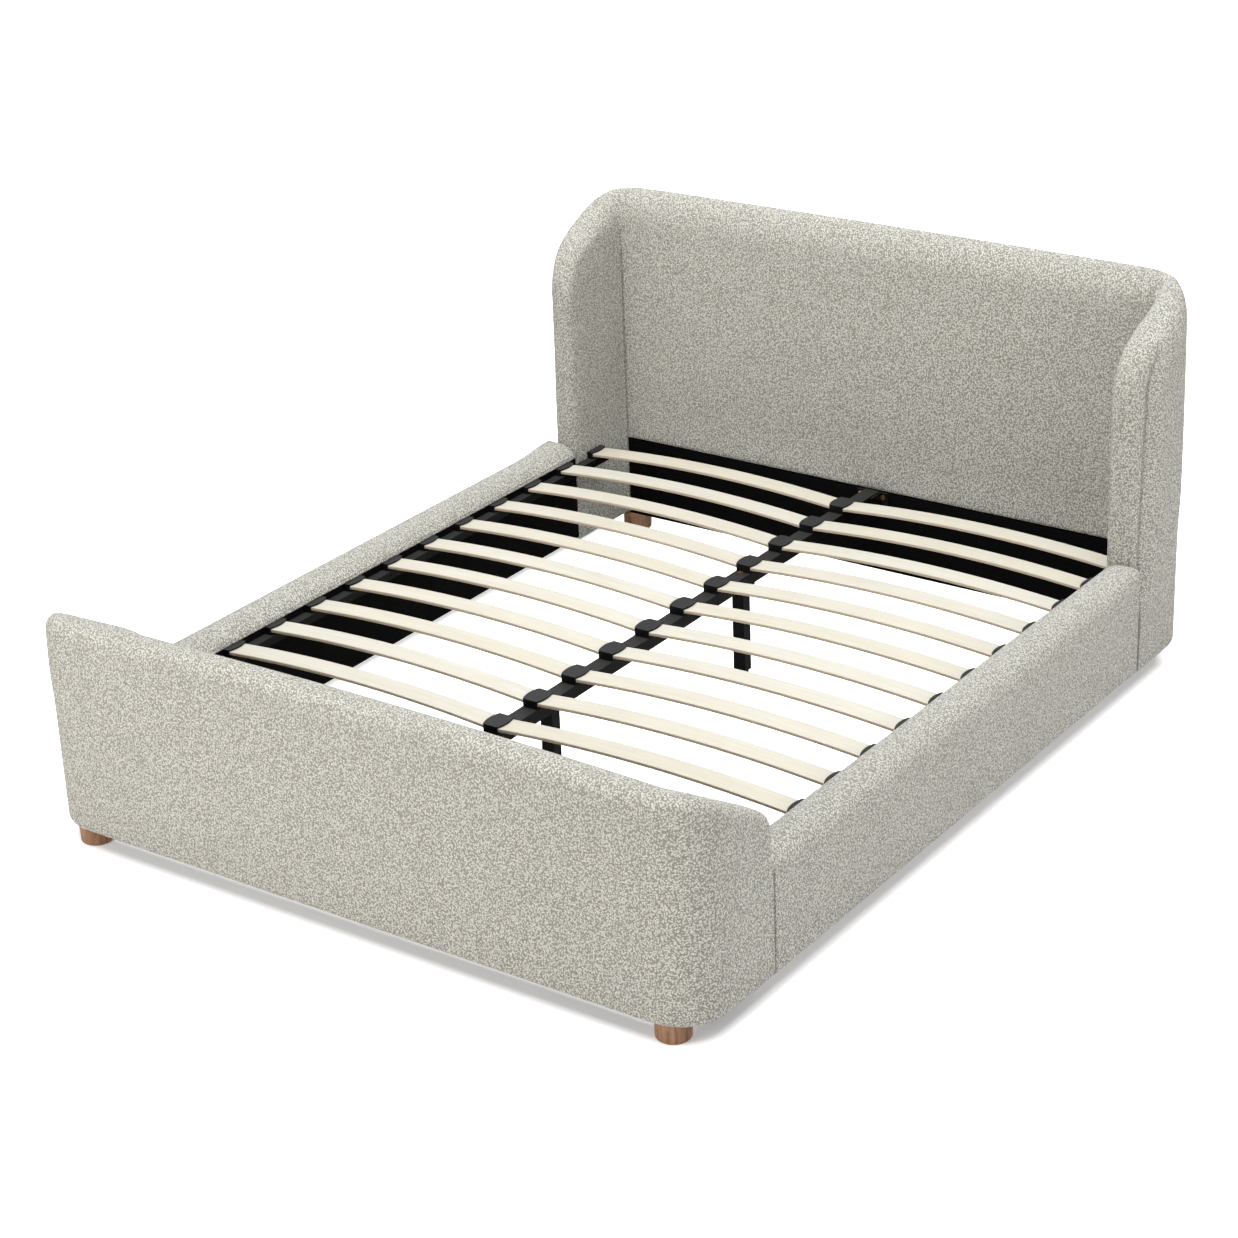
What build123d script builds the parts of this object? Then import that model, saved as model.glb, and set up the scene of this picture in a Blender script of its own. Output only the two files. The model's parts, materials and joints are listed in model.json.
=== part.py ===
"""An upholstered bed with a winged headboard, a wrap-round footboard and sprung slats.

Frame: millimetres, +Z up, origin on the floor under the middle of the bed.
+X is the right-hand side seen from the foot, +Y runs from the foot to the headboard.
"""

import os

from build123d import *

# Mattress and the room left around it
mattress_width = 1524.0
mattress_length = 2032.0
mattress_side_gap = 8.0
mattress_end_gap = 4.0

# Heights above the floor
foot_height = 45.0
slat_height = 271.0
rail_top = 320.0
footboard_top = 541.0
headboard_top = 953.0

# Upholstered walls
rail_thickness = 96.0
headboard_thickness = 76.0
footboard_thickness = 88.0
wing_depth = 238.0
wing_shoulder_drop = 108.0
wing_shoulder_radius = 100.0
wing_crest_radius = 100.0
wing_roll_inner = 30.0
wing_roll_outer = 46.0
rear_corner_radius = 150.0
footboard_return = 276.0
footboard_corner_radius = 110.0
footboard_inner_radius = 24.0
footboard_drop_length = 218.0
footboard_drop_height = 410.0
footboard_drop_lean = 8.0
footboard_crest_radius = 120.0
footboard_end_radius = 55.0
footboard_roll = 30.0
rail_roll_inner = 22.0
rail_roll_outer = 40.0
rail_roll_lower = 14.0
headboard_roll = 32.0
cloth_gap = 0.3

# Timber inside the upholstery
panel_thickness = 22.0
panel_inset = 60.0
panel_edge_inset = 26.0
headboard_panel_thickness = 16.0
headboard_pad_depth = 30.0
headboard_panel_overlap = 28.0
headboard_panel_margin = 8.0
timber_clearance = 13.0
rail_board_thickness = 45.0
rail_pad_lip = 20.0
rail_pad_drop = 24.0
base_plate_thickness = 18.0
base_plate_outer_inset = 15.0
base_plate_inner_inset = 80.0
lining_thickness = 3.0

# Slats and their plastic holders
slat_rows = 13
slat_pitch = 144.0
slat_width = 55.0
slat_thickness = 8.0
slat_camber = 18.0
slat_end_gap = 5.0
slat_play = 0.3
holder_wall = 2.5
holder_lip = 3.0
holder_slack = 3.2
holder_bulge = 6.5
cap_depth = 15.5
cap_floor = 4.0
cap_back_wall = 3.0
centre_mouth = 18.5
centre_web = 3.0

# Steel under the slats
ledger_width = 26.0
ledger_depth = 20.0
ledger_wall = 2.0
ledger_overrun = 32.0
beam_width = 40.0
beam_depth = 30.0
beam_wall = 2.0
beam_below_slats = 5.5
lining_below_beam = 3.5
leg_spacing = 782.0
leg_side = 32.0
leg_wall = 2.0
leg_plate_length = 64.0
leg_plate_thickness = 4.0
bracket_width = 92.0
bracket_reach = 50.0
bracket_plate = 4.0
bracket_bolt_spacing = 64.0
steel_gap = 0.3

# Levelling glides under the centre legs
glide_radius = 15.0
glide_base = 8.0
glide_edge = 2.0
glide_gap = 4.0
glide_stud_radius = 4.0
glide_stud_length = 42.0
glide_play = 0.05

# Turned feet
foot_radius = 39.0
foot_taper = 2.0
foot_edge = 7.0
front_foot_inset_x = 94.0
front_foot_inset_y = 52.0
rear_foot_inset_x = 110.0
rear_foot_inset_y = 60.0
stud_radius = 4.0
stud_sunk = 25.0
stud_length = 42.0

# Bolts and screws
bolt_radius = 4.0
bolt_head_radius = 7.0
bolt_head_height = 4.5
bolt_play = 0.2
wall_bolt_length = 22.0
end_plate_width = 36.0
end_plate_height = 150.0
end_plate_thickness = 4.0
end_bolt_spacing = 100.0
end_bolt_grip = 34.0
screw_radius = 2.5
screw_head_radius = 4.5
screw_head_height = 2.5
screw_length = 52.0
screw_rows = 5
screw_end_margin = 44.0

# Worked-out places
well_half = mattress_width / 2 + mattress_side_gap
outer_half = well_half + rail_thickness
well_length = mattress_length + 2 * mattress_end_gap
y_front = -(headboard_thickness + well_length + footboard_thickness) / 2
y_foot = y_front + footboard_thickness
y_head = y_foot + well_length
y_back = y_head + headboard_thickness
y_middle = (y_head + y_foot) / 2
y_wing = y_head - wing_depth
y_seam = y_front + footboard_return
wing_shoulder_height = headboard_top - wing_shoulder_drop
beam_top = slat_height - beam_below_slats
lining_top = beam_top - lining_below_beam
timber_bottom = foot_height + timber_clearance
panel_outer_x = outer_half - panel_inset
panel_inner_x = panel_outer_x - panel_thickness
panel_middle_x = (panel_outer_x + panel_inner_x) / 2
rail_board_x = (well_half + lining_thickness, well_half + lining_thickness + rail_board_thickness)
rail_board_top = rail_top - rail_pad_drop
rail_board_y = (y_seam + end_plate_thickness, y_wing - end_plate_thickness)
headboard_panel_y = (
    y_head + headboard_pad_depth,
    y_head + headboard_pad_depth + headboard_panel_thickness,
)
headboard_panel_half = panel_outer_x - headboard_panel_margin
headboard_panel_top = headboard_top - headboard_panel_overlap
slat_row_y = [y_middle + slat_pitch * ((slat_rows - 1) / 2 - row) for row in range(slat_rows)]
pocket_floor = slat_height - slat_play
pocket_top = pocket_floor + slat_thickness + holder_slack
holder_top = pocket_top + holder_lip
pocket_half_length = slat_width / 2 + slat_play
holder_half_length = pocket_half_length + holder_wall
slat_inner_x = centre_web + slat_end_gap
cap_back_x = well_half - steel_gap
cap_mouth_x = cap_back_x - cap_depth
slat_outer_x = cap_back_x - cap_back_wall - slat_play
ledger_top = pocket_floor - cap_floor
ledger_x = (well_half - ledger_width, well_half)
ledger_y = (slat_row_y[-1] - ledger_overrun, slat_row_y[0] + ledger_overrun)
beam_bottom = beam_top - beam_depth
beam_middle = beam_top - beam_depth / 2
beam_y = (y_foot + bracket_plate + steel_gap, y_head - bracket_plate - steel_gap)
leg_places = {"head": y_middle + leg_spacing / 2, "foot": y_middle - leg_spacing / 2}
leg_bottom = glide_base + glide_gap
leg_top = beam_bottom - leg_plate_thickness
foot_places = [
    (side * (outer_half - front_foot_inset_x), y_front + front_foot_inset_y) for side in (-1, 1)
] + [(side * (outer_half - rear_foot_inset_x), y_back - rear_foot_inset_y) for side in (-1, 1)]
stud_bottom = foot_height - stud_sunk
stud_top = stud_bottom + stud_length
end_bolt_middle = (timber_bottom + rail_board_top) / 2
end_bolt_z = [end_bolt_middle - end_bolt_spacing / 2, end_bolt_middle + end_bolt_spacing / 2]
rail_screw_length = y_wing - y_seam - 2 * screw_end_margin
rail_screw_y = [
    y_seam + screw_end_margin + rail_screw_length * step / (screw_rows - 1) for step in range(screw_rows)
]
foot_screw_y = y_seam - screw_end_margin
wing_screw_y = y_wing + screw_end_margin
screw_y = [foot_screw_y, *rail_screw_y, wing_screw_y]
screw_z = ledger_top - ledger_depth / 2


def across(y):
    """The upright plane across the bed at y: its first axis is X, its second Z, its normal -Y."""
    return Plane.XZ.offset(-y)


def span_box(x, y, z, mode=Mode.ADD):
    """A box between a low and a high limit on each axis."""
    with Locations(tuple((low + high) / 2 for low, high in (x, y, z))):
        Box(x[1] - x[0], y[1] - y[0], z[1] - z[0], mode=mode)


def rod_along_y(x, y, z, radius, mode=Mode.ADD):
    """A round bar between two y limits."""
    with BuildSketch(across(y[1])) as section:
        with Locations((x, z)):
            Circle(radius)
    extrude(section.sketch, amount=y[1] - y[0], mode=mode)


def rod_along_x(x, y, z, radius, mode=Mode.ADD):
    """A round bar between two x limits."""
    with BuildSketch(Plane.YZ.offset(x[0])) as section:
        with Locations((y, z)):
            Circle(radius)
    extrude(section.sketch, amount=x[1] - x[0], mode=mode)


def rod_along_z(x, y, z, radius, mode=Mode.ADD):
    """A round bar between two heights."""
    with BuildSketch(Plane.XY.offset(z[0])) as section:
        with Locations((x, y)):
            Circle(radius)
    extrude(section.sketch, amount=z[1] - z[0], mode=mode)


def screw_holes(x, rows):
    """Clearance holes for the ledger's screws through the right-hand wall between two x limits."""
    for row_y in rows:
        rod_along_x(x, row_y, screw_z, screw_radius + bolt_play, Mode.SUBTRACT)


def save(piece, name):
    """Label a finished piece and write it as its own file."""
    piece.part.label = name
    export_step(piece.part, f"parts/{name}.step")


def save_pair(right_piece, name):
    """Write a right-hand piece and its mirror image on the left."""
    with BuildPart() as left_piece:
        mirror(right_piece.part, about=Plane.YZ)
    save(left_piece, name + "_left")
    save(right_piece, name + "_right")


def wing_side(x, inset, y_end, z_low):
    """A wing seen from the side, at x: upright front, rounded shoulder, slope up to the level top."""
    front = y_wing + inset
    top = headboard_top - inset
    with BuildSketch(Plane.YZ.offset(x)) as side:
        with BuildLine():
            FilletPolyline(
                (y_end, z_low),
                (front, z_low),
                (front, wing_shoulder_height - inset),
                (y_head, top),
                (y_end, top),
                radius=[0, 0, wing_shoulder_radius - inset, wing_crest_radius, 0],
                close=True,
            )
        make_face()
    return side.sketch


def headboard_section(x):
    """The headboard's padding seen from the side, at x: its front face, rolled over the top."""
    with BuildSketch(Plane.YZ.offset(x)) as section:
        with BuildLine():
            FilletPolyline(
                (y_head, lining_top),
                (y_head, headboard_top),
                (y_back, headboard_top),
                (y_back, headboard_panel_top + cloth_gap),
                (headboard_panel_y[0] - cloth_gap, headboard_panel_top + cloth_gap),
                (headboard_panel_y[0] - cloth_gap, lining_top),
                radius=[0, headboard_roll, headboard_panel_overlap - 2 * cloth_gap, 0, 0, 0],
                close=True,
            )
        make_face()
    return section.sketch


def footboard_plan(outer_inset, side_inset, front_inset, y_end, inner_radius):
    """The footboard from above: a U with rounded front corners between two insets."""
    outer_x = outer_half - outer_inset
    inner_x = outer_half - side_inset
    outer_y = y_front + outer_inset
    inner_y = y_front + front_inset
    outer_radius = footboard_corner_radius - outer_inset
    with BuildSketch(Plane.XY.offset(foot_height)) as plan:
        with BuildLine():
            FilletPolyline(
                (-outer_x, y_end),
                (-outer_x, outer_y),
                (outer_x, outer_y),
                (outer_x, y_end),
                (inner_x, y_end),
                (inner_x, inner_y),
                (-inner_x, inner_y),
                (-inner_x, y_end),
                radius=[0, outer_radius, outer_radius, 0, 0, inner_radius, inner_radius, 0],
                close=True,
            )
        make_face()
    return plan.sketch


def footboard_drop(inset):
    """Cut away what stands above the sloping fall of the footboard's two ends."""
    top = footboard_top - inset
    end = y_seam - inset
    above = footboard_top + footboard_thickness
    past = y_seam + footboard_thickness
    before = y_front - footboard_thickness
    with BuildSketch(Plane.YZ) as fall:
        with BuildLine():
            FilletPolyline(
                (before, top),
                (y_seam - footboard_drop_length, top),
                (end - footboard_drop_lean, footboard_drop_height - inset),
                (end, rail_top - inset),
                (past, rail_top - inset),
                (past, above),
                (before, above),
                radius=[0, footboard_crest_radius, footboard_end_radius, 0, 0, 0, 0],
                close=True,
            )
        make_face()
    extrude(fall.sketch, amount=outer_half, both=True, mode=Mode.SUBTRACT)


def bed_outline():
    """Keep only what lies inside the bed's outline from above, with its rounded rear corners."""
    with BuildSketch() as outline:
        with BuildLine():
            FilletPolyline(
                (-outer_half, y_front),
                (outer_half, y_front),
                (outer_half, y_back),
                (-outer_half, y_back),
                radius=[0, 0, rear_corner_radius, rear_corner_radius],
                close=True,
            )
        make_face()
    extrude(outline.sketch, amount=headboard_top, mode=Mode.INTERSECT)


os.makedirs("parts", exist_ok=True)

# Headboard: a plywood panel with a front pad over its top, a back cover and a black lower panel
with BuildPart() as headboard_panel:
    span_box(
        (-headboard_panel_half, headboard_panel_half),
        headboard_panel_y,
        (timber_bottom, headboard_panel_top),
    )
save(headboard_panel, "headboard_panel")

with BuildPart() as headboard_pad:
    pad_half = well_half - cloth_gap
    extrude(headboard_section(-pad_half), amount=2 * pad_half)
    bed_outline()
save(headboard_pad, "headboard_pad")

with BuildPart() as headboard_back:
    span_box(
        (-pad_half, pad_half),
        (headboard_panel_y[1], y_back),
        (foot_height, headboard_panel_top),
    )
    bed_outline()
save(headboard_back, "headboard_back")

with BuildPart() as headboard_lining:
    span_box(
        (-pad_half, pad_half),
        (y_head, headboard_panel_y[0]),
        (foot_height, lining_top - cloth_gap),
    )
    for bolt_x in (-bracket_bolt_spacing / 2, bracket_bolt_spacing / 2):
        rod_along_y(
            bolt_x,
            (y_head, y_head + wall_bolt_length - bracket_plate),
            beam_middle,
            bolt_radius + bolt_play,
            Mode.SUBTRACT,
        )
    for foot_x, foot_y in foot_places[2:]:
        rod_along_z(
            foot_x, foot_y, (foot_height, stud_top), stud_radius + bolt_play, Mode.SUBTRACT
        )
save(headboard_lining, "headboard_lining")

# Wings: a timber panel inside a padded wing that rolls over its front and shoulder
with BuildPart() as wing_panel:
    extrude(
        wing_side(panel_inner_x, panel_edge_inset, headboard_panel_y[0], timber_bottom),
        amount=panel_thickness,
    )
    for bolt_z in end_bolt_z:
        rod_along_y(
            panel_middle_x,
            (y_wing + panel_edge_inset, y_wing + panel_edge_inset + end_bolt_grip),
            bolt_z,
            bolt_radius + bolt_play,
            Mode.SUBTRACT,
        )
    screw_holes((panel_inner_x, ledger_x[0] + screw_length), [wing_screw_y])
save_pair(wing_panel, "wing_panel")

with BuildPart() as wing_pad:
    extrude(wing_side(well_half, 0, y_back, foot_height), amount=rail_thickness)
    bed_outline()
    for edge_x, roll in ((outer_half, wing_roll_outer), (well_half, wing_roll_inner)):
        side_edges = wing_pad.edges().filter_by_position(Axis.X, edge_x, edge_x)
        fillet(side_edges.filter_by(Axis.Z).sort_by(Axis.Y)[0], roll)
    span_box((well_half, outer_half), (y_wing, y_head), (foot_height, rail_top - rail_roll_outer))
    span_box((well_half, panel_outer_x), (y_head, y_back), (foot_height, headboard_panel_top))
    extrude(headboard_section(well_half), amount=wing_roll_inner)
    bed_outline()
    extrude(
        wing_side(panel_inner_x - cloth_gap, panel_edge_inset - cloth_gap, headboard_panel_y[0], foot_height),
        amount=panel_thickness + 2 * cloth_gap,
        mode=Mode.SUBTRACT,
    )
    span_box(
        (well_half, headboard_panel_half + cloth_gap),
        (headboard_panel_y[0], headboard_panel_y[1] + cloth_gap),
        (foot_height, headboard_panel_top + cloth_gap),
        Mode.SUBTRACT,
    )
    for bolt_z in end_bolt_z:
        rod_along_y(
            panel_middle_x,
            (y_wing, y_wing + panel_edge_inset),
            bolt_z,
            bolt_radius + bolt_play,
            Mode.SUBTRACT,
        )
    screw_holes((well_half, panel_inner_x), [wing_screw_y])
save_pair(wing_pad, "wing_pad")

# Side rails: a timber board, a pad over its outside, top and underside, and a black lining inside
with BuildPart() as rail_board:
    span_box(rail_board_x, rail_board_y, (timber_bottom, rail_board_top))
    for bolt_z in end_bolt_z:
        for grip in (
            (rail_board_y[0], rail_board_y[0] + end_bolt_grip),
            (rail_board_y[1] - end_bolt_grip, rail_board_y[1]),
        ):
            rod_along_y(panel_middle_x, grip, bolt_z, bolt_radius + bolt_play, Mode.SUBTRACT)
    screw_holes((rail_board_x[0], ledger_x[0] + screw_length), rail_screw_y)
save_pair(rail_board, "rail_board")

with BuildPart() as rail_pad:
    with BuildSketch(across(y_wing - cloth_gap)):
        with BuildLine():
            FilletPolyline(
                (well_half, rail_board_top + cloth_gap),
                (well_half, rail_top),
                (outer_half, rail_top),
                (outer_half, foot_height),
                (well_half + rail_pad_lip, foot_height),
                (well_half + rail_pad_lip, timber_bottom - cloth_gap),
                (rail_board_x[1] + cloth_gap, timber_bottom - cloth_gap),
                (rail_board_x[1] + cloth_gap, rail_board_top + cloth_gap),
                radius=[0, rail_roll_inner, rail_roll_outer, rail_roll_lower, 0, 0, 0, 0],
                close=True,
            )
        make_face()
    extrude(amount=y_wing - y_seam - 2 * cloth_gap)
save_pair(rail_pad, "rail_pad")

with BuildPart() as rail_lining:
    span_box(
        (well_half, well_half + lining_thickness),
        (y_seam + cloth_gap, y_wing - cloth_gap),
        (timber_bottom, rail_board_top),
    )
    screw_holes((well_half, well_half + lining_thickness), rail_screw_y)
save_pair(rail_lining, "rail_lining")

# Footboard: a bent timber panel on a base plate, a pad drawn over it and a black lining inside
def footboard_timber(grow):
    """The bent panel and its base plate, grown on every side but underneath."""
    inside = panel_inset + panel_thickness
    end = y_seam - panel_edge_inset + grow
    extrude(
        footboard_plan(
            panel_inset - grow, inside + grow, inside + grow, end, footboard_corner_radius - inside - grow
        ),
        amount=footboard_top - panel_edge_inset + grow - foot_height,
    )
    footboard_drop(panel_edge_inset - grow)
    extrude(
        footboard_plan(
            base_plate_outer_inset - grow,
            base_plate_inner_inset + grow,
            base_plate_inner_inset + grow,
            end,
            footboard_corner_radius - base_plate_inner_inset - grow,
        ),
        amount=base_plate_thickness + grow,
    )


def footboard_holes():
    """Clearance holes for the beam bracket's bolts and the bolts in the rails' ends."""
    for side in (-1, 1):
        rod_along_y(
            side * bracket_bolt_spacing / 2,
            (y_foot + bracket_plate - wall_bolt_length, y_foot),
            beam_middle,
            bolt_radius + bolt_play,
            Mode.SUBTRACT,
        )
        for bolt_z in end_bolt_z:
            rod_along_y(
                side * panel_middle_x,
                (y_seam - panel_edge_inset - end_bolt_grip, y_seam),
                bolt_z,
                bolt_radius + bolt_play,
                Mode.SUBTRACT,
            )
        screw_x = sorted((side * well_half, side * (ledger_x[0] + screw_length)))
        rod_along_x(screw_x, foot_screw_y, screw_z, screw_radius + bolt_play, Mode.SUBTRACT)


lining_half = well_half - footboard_inner_radius
footboard_lining_y = (y_foot - lining_thickness, y_foot)

with BuildPart() as footboard_panel:
    footboard_timber(0)
    footboard_holes()
    for foot_x, foot_y in foot_places[:2]:
        rod_along_z(
            foot_x, foot_y, (foot_height, stud_top), stud_radius + bolt_play, Mode.SUBTRACT
        )
save(footboard_panel, "footboard_panel")

with BuildPart() as footboard_hollow:
    footboard_timber(cloth_gap)

with BuildPart() as footboard_pad:
    extrude(
        footboard_plan(0, rail_thickness, footboard_thickness, y_seam, footboard_inner_radius),
        amount=footboard_top - foot_height,
    )
    footboard_drop(0)
    top_edges = footboard_pad.edges().group_by(Axis.Z)[-1]
    fillet(top_edges.filter_by(lambda edge: edge.length > footboard_roll), footboard_roll)
    add(footboard_hollow.part, mode=Mode.SUBTRACT)
    span_box(
        (-lining_half - cloth_gap, lining_half + cloth_gap),
        (footboard_lining_y[0] - cloth_gap, y_foot),
        (foot_height, lining_top + cloth_gap),
        Mode.SUBTRACT,
    )
    footboard_holes()
save(footboard_pad, "footboard_pad")

with BuildPart() as footboard_lining:
    span_box((-lining_half, lining_half), footboard_lining_y, (timber_bottom, lining_top))
    footboard_holes()
save(footboard_lining, "footboard_lining")

# Rail joints: a steel plate on each end of each rail and two bolts through it
with BuildPart() as rail_end_plates:
    for side in (-1, 1):
        plate_x = side * panel_middle_x
        for plate_y in ((y_seam, rail_board_y[0]), (rail_board_y[1], y_wing)):
            span_box(
                (plate_x - end_plate_width / 2, plate_x + end_plate_width / 2),
                plate_y,
                (end_bolt_middle - end_plate_height / 2, end_bolt_middle + end_plate_height / 2),
            )
            for bolt_z in end_bolt_z:
                rod_along_y(plate_x, plate_y, bolt_z, bolt_radius + bolt_play, Mode.SUBTRACT)
save(rail_end_plates, "rail_end_plates")

with BuildPart() as rail_end_bolts:
    for side in (-1, 1):
        for bolt_z in end_bolt_z:
            for bolt_y in (
                (y_seam - panel_edge_inset - end_bolt_grip, rail_board_y[0] + end_bolt_grip),
                (rail_board_y[1] - end_bolt_grip, y_wing + panel_edge_inset + end_bolt_grip),
            ):
                rod_along_y(side * panel_middle_x, bolt_y, bolt_z, bolt_radius)
save(rail_end_bolts, "rail_end_bolts")

# Feet: four turned feet on studs
with BuildPart() as turned_foot:
    with BuildSketch(Plane.XZ):
        with BuildLine():
            FilletPolyline(
                (0, 0),
                (foot_radius - foot_taper, 0),
                (foot_radius, foot_height),
                (0, foot_height),
                radius=[0, foot_edge, 0, 0],
                close=True,
            )
        make_face()
    revolve(axis=Axis.Z)
    rod_along_z(0, 0, (stud_bottom, foot_height), stud_radius + bolt_play, Mode.SUBTRACT)

with BuildPart() as wooden_feet:
    with Locations(*foot_places):
        add(turned_foot.part)
save(wooden_feet, "wooden_feet")

with BuildPart() as foot_studs:
    for foot_x, foot_y in foot_places:
        rod_along_z(foot_x, foot_y, (stud_bottom, stud_top), stud_radius)
save(foot_studs, "foot_studs")

# Ledgers: a steel tube along each rail, screwed to the rail, the wing and the footboard
with BuildPart() as slat_ledger:
    span_box(ledger_x, ledger_y, (ledger_top - ledger_depth, ledger_top))
    span_box(
        (ledger_x[0] + ledger_wall, ledger_x[1] - ledger_wall),
        ledger_y,
        (ledger_top - ledger_depth + ledger_wall, ledger_top - ledger_wall),
        Mode.SUBTRACT,
    )
    screw_holes(ledger_x, screw_y)
save_pair(slat_ledger, "slat_ledger")

with BuildPart() as ledger_screws:
    for row_y in screw_y:
        rod_along_x((ledger_x[0], ledger_x[0] + screw_length), row_y, screw_z, screw_radius)
        rod_along_x((ledger_x[0] - screw_head_height, ledger_x[0]), row_y, screw_z, screw_head_radius)
    mirror(about=Plane.YZ)
save(ledger_screws, "ledger_screws")

# Centre beam: a steel tube hung between brackets on the headboard and the footboard
with BuildPart() as centre_beam:
    span_box((-beam_width / 2, beam_width / 2), beam_y, (beam_bottom, beam_top))
    span_box(
        (beam_wall - beam_width / 2, beam_width / 2 - beam_wall),
        beam_y,
        (beam_bottom + beam_wall, beam_top - beam_wall),
        Mode.SUBTRACT,
    )
    for leg_y in leg_places.values():
        rod_along_z(0, leg_y, (beam_bottom, beam_top), bolt_radius + bolt_play, Mode.SUBTRACT)
save(centre_beam, "centre_beam")

with BuildPart() as head_bracket:
    cheek_x = beam_width / 2 + steel_gap
    shelf_top = beam_bottom - steel_gap
    cradle_half = cheek_x + bracket_plate
    span_box(
        (-bracket_width / 2, bracket_width / 2),
        (y_head - bracket_plate, y_head),
        (shelf_top - bracket_plate, lining_top),
    )
    span_box(
        (-cradle_half, cradle_half),
        (y_head - bracket_reach, y_head - bracket_plate),
        (shelf_top - bracket_plate, beam_top - bracket_plate),
    )
    span_box(
        (-cheek_x, cheek_x),
        (y_head - bracket_reach, y_head - bracket_plate),
        (shelf_top, beam_top),
        Mode.SUBTRACT,
    )
    for side in (-1, 1):
        rod_along_y(
            side * bracket_bolt_spacing / 2,
            (y_head - bracket_plate, y_head),
            beam_middle,
            bolt_radius + bolt_play,
            Mode.SUBTRACT,
        )

with BuildPart() as beam_brackets:
    add(head_bracket.part)
    mirror(head_bracket.part, about=Plane.XZ.offset(-y_middle))
save(beam_brackets, "beam_brackets")

with BuildPart() as bracket_bolts:
    for side in (-1, 1):
        bolt_x = side * bracket_bolt_spacing / 2
        bolt_seat = y_head - bracket_plate
        rod_along_y(bolt_x, (bolt_seat, bolt_seat + wall_bolt_length), beam_middle, bolt_radius)
        rod_along_y(bolt_x, (bolt_seat - bolt_head_height, bolt_seat), beam_middle, bolt_head_radius)
    mirror(about=Plane.XZ.offset(-y_middle))
save(bracket_bolts, "bracket_bolts")

# Centre legs: square tubes bolted under the beam, each with a levelling glide in its foot
with BuildPart() as leg_bolts:
    for leg_y in leg_places.values():
        rod_along_z(0, leg_y, (leg_top, beam_top), bolt_radius)
        rod_along_z(0, leg_y, (beam_top, beam_top + bolt_head_height), bolt_head_radius)
save(leg_bolts, "leg_bolts")

for leg_name, leg_y in leg_places.items():
    tube_y = (leg_y - leg_side / 2, leg_y + leg_side / 2)
    with BuildPart() as centre_leg:
        span_box((-leg_side / 2, leg_side / 2), tube_y, (leg_bottom, leg_top))
        fillet(centre_leg.edges().filter_by(Axis.Z), leg_wall)
        span_box(
            (leg_wall - leg_side / 2, leg_side / 2 - leg_wall),
            (tube_y[0] + leg_wall, tube_y[1] - leg_wall),
            (leg_bottom + leg_plate_thickness, leg_top),
            Mode.SUBTRACT,
        )
        span_box(
            (-beam_width / 2, beam_width / 2),
            (leg_y - leg_plate_length / 2, leg_y + leg_plate_length / 2),
            (leg_top, beam_bottom),
        )
        rod_along_z(0, leg_y, (leg_top, beam_bottom), bolt_radius + bolt_play, Mode.SUBTRACT)
        rod_along_z(
            0,
            leg_y,
            (leg_bottom, leg_bottom + leg_plate_thickness),
            glide_stud_radius + glide_play,
            Mode.SUBTRACT,
        )
    save(centre_leg, f"centre_leg_{leg_name}")

    with BuildPart() as levelling_glide:
        rod_along_z(0, leg_y, (0, glide_base), glide_radius)
        fillet(levelling_glide.edges().filter_by(GeomType.CIRCLE), glide_edge)
        rod_along_z(0, leg_y, (glide_base, glide_base + glide_stud_length), glide_stud_radius)
    save(levelling_glide, f"levelling_glide_{leg_name}")

# Slat holders: a cap on the ledger at each slat's outer end, a double holder on the beam
with BuildPart() as slat_cap:
    with BuildSketch(Plane.XY.offset(ledger_top)):
        with BuildLine():
            Polyline(
                (cap_mouth_x, holder_half_length),
                (cap_back_x, holder_half_length),
                (cap_back_x, -holder_half_length),
                (cap_mouth_x, -holder_half_length),
            )
            ThreePointArc(
                (cap_mouth_x, -holder_half_length),
                (cap_mouth_x - holder_bulge, 0),
                (cap_mouth_x, holder_half_length),
            )
        make_face()
    extrude(amount=holder_top - ledger_top)
    span_box(
        (cap_mouth_x - holder_bulge, cap_back_x - cap_back_wall),
        (-pocket_half_length, pocket_half_length),
        (pocket_floor, pocket_top),
        Mode.SUBTRACT,
    )

with BuildPart() as slat_caps:
    with Locations(*[(0, row_y) for row_y in slat_row_y]):
        add(slat_cap.part)
    mirror(about=Plane.YZ)
save(slat_caps, "slat_caps")

with BuildPart() as double_holder:
    with BuildSketch(Plane.XY.offset(beam_top)):
        Rectangle(2 * centre_mouth, 2 * holder_half_length)
    extrude(amount=pocket_floor - holder_lip - beam_top)
    with BuildSketch(Plane.XY.offset(pocket_floor - holder_lip)):
        with BuildLine():
            for side in (-1, 1):
                ThreePointArc(
                    (side * centre_mouth, -holder_half_length),
                    (side * (centre_mouth + holder_bulge), 0),
                    (side * centre_mouth, holder_half_length),
                )
                Line(
                    (-centre_mouth, side * holder_half_length), (centre_mouth, side * holder_half_length)
                )
        make_face()
    extrude(amount=holder_top - pocket_floor + holder_lip)
    for pocket_x in (
        (-centre_mouth - holder_bulge, -centre_web),
        (centre_web, centre_mouth + holder_bulge),
    ):
        span_box(
            pocket_x, (-pocket_half_length, pocket_half_length), (pocket_floor, pocket_top), Mode.SUBTRACT
        )

with BuildPart() as centre_slat_holders:
    with Locations(*[(0, row_y) for row_y in slat_row_y]):
        add(double_holder.part)
save(centre_slat_holders, "centre_slat_holders")

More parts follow.
